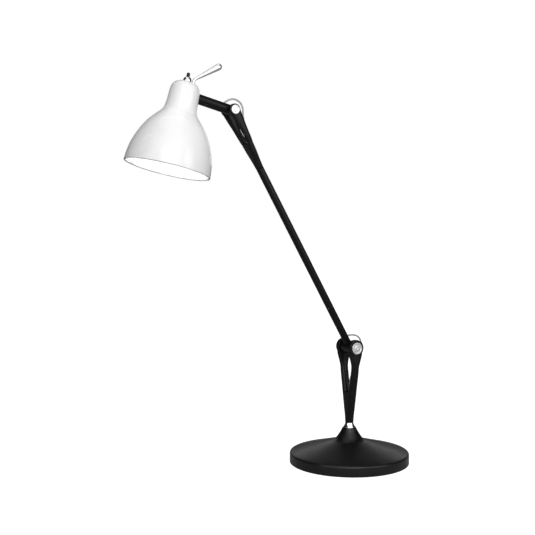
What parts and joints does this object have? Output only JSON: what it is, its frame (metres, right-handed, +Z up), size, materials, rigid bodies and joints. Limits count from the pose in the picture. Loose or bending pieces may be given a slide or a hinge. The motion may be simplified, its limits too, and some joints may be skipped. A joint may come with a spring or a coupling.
{
  "type": "architect desk lamp",
  "caption": "Desk lamp with a weighted round base, forked friction elbows, slim black arms, a white bell glass shade and a polished aiming handle.",
  "frame": {"origin": "centre of the base's underside, on the surface it stands on", "axes": "+Z up; the arms lie in the XZ plane with the shade toward -X; the elbows turn about Y"},
  "size_m": [0.593, 0.24, 0.7753],
  "materials": {
    "satin_black": "satin powder coat",
    "polished_chrome": "mirror polish",
    "cap_metal": "turned face",
    "plain_steel": "zinc plated",
    "brass": "turned",
    "cast_iron": "raw casting",
    "black_rubber": "matt",
    "clear_flex": "translucent flex sheath",
    "opal_glass": "glossy opal",
    "frosted_bulb": "frosted",
    "black_plastic": "moulded",
    "cream_plastic": "moulded"
  },
  "bodies": {
    "base": {"base_cover": "satin_black", "ballast_disc": "cast_iron", "foot_pad": "black_rubber", "ballast_screw_1": "plain_steel", "ballast_screw_2": "plain_steel", "ballast_screw_3": "plain_steel", "cable_inlet": "black_rubber", "neck_bush": "brass", "neck_collar": "polished_chrome", "base_lead": "clear_flex"},
    "lower_arm": {"lower_fork": "satin_black", "swivel_spigot": "plain_steel", "spigot_washer": "brass", "spigot_nut": "plain_steel", "lower_pivot_bolt": "plain_steel", "lower_washer_far": "brass", "lower_washer_near": "brass", "lower_cap_far": "cap_metal", "lower_cap_near": "cap_metal", "cable_loop_lower": "clear_flex"},
    "main_arm": {"lower_barrel": "satin_black", "main_tube": "satin_black", "main_arm_lead": "clear_flex", "upper_fork": "satin_black", "upper_pivot_bolt": "plain_steel", "upper_washer_far": "brass", "upper_washer_near": "brass", "upper_cap_far": "cap_metal", "upper_cap_near": "cap_metal", "cable_loop_upper": "clear_flex"},
    "short_arm": {"upper_barrel": "satin_black", "short_tube": "satin_black", "short_arm_lead": "clear_flex", "tube_retainer": "plain_steel"},
    "head": {"shade": "opal_glass", "inner_cup": "plain_steel", "lampholder": "cream_plastic", "holder_ring": "plain_steel", "bulb_cap": "brass", "bulb_globe": "frosted_bulb", "switch_body": "black_plastic", "switch_nut": "polished_chrome", "aiming_handle": "polished_chrome", "handle_nut": "plain_steel"},
    "switch_lever": {"lever_rod": "plain_steel", "lever_tip": "black_plastic"}
  },
  "joints": [
    {"name": "base_swivel", "type": "hinge", "parent": "base", "child": "lower_arm", "pos_m": [0, 0, 0.0606], "axis": [0, 0, 1], "range_deg": [-170, 170]},
    {"name": "lower_elbow", "type": "hinge", "parent": "lower_arm", "child": "main_arm", "pos_m": [0, 0, 0.2337], "axis": [0, 1, 0], "range_deg": [-45, 50], "deforming": ["cable_loop_lower"]},
    {"name": "upper_elbow", "type": "hinge", "parent": "main_arm", "child": "short_arm", "pos_m": [-0.26811, 0, 0.69216], "axis": [0, 1, 0], "range_deg": [-35, 60], "deforming": ["cable_loop_upper"]},
    {"name": "head_swivel", "type": "hinge", "parent": "short_arm", "child": "head", "pos_m": [-0.36179, 0, 0.71614], "axis": [-0.9688, 0, 0.248], "range_deg": [-165, 165]},
    {"name": "switch_toggle", "type": "hinge", "parent": "head", "child": "switch_lever", "pos_m": [-0.35604, 0, 0.73861], "axis": [0, 1, 0], "range_deg": [-5, 11]}
  ]
}
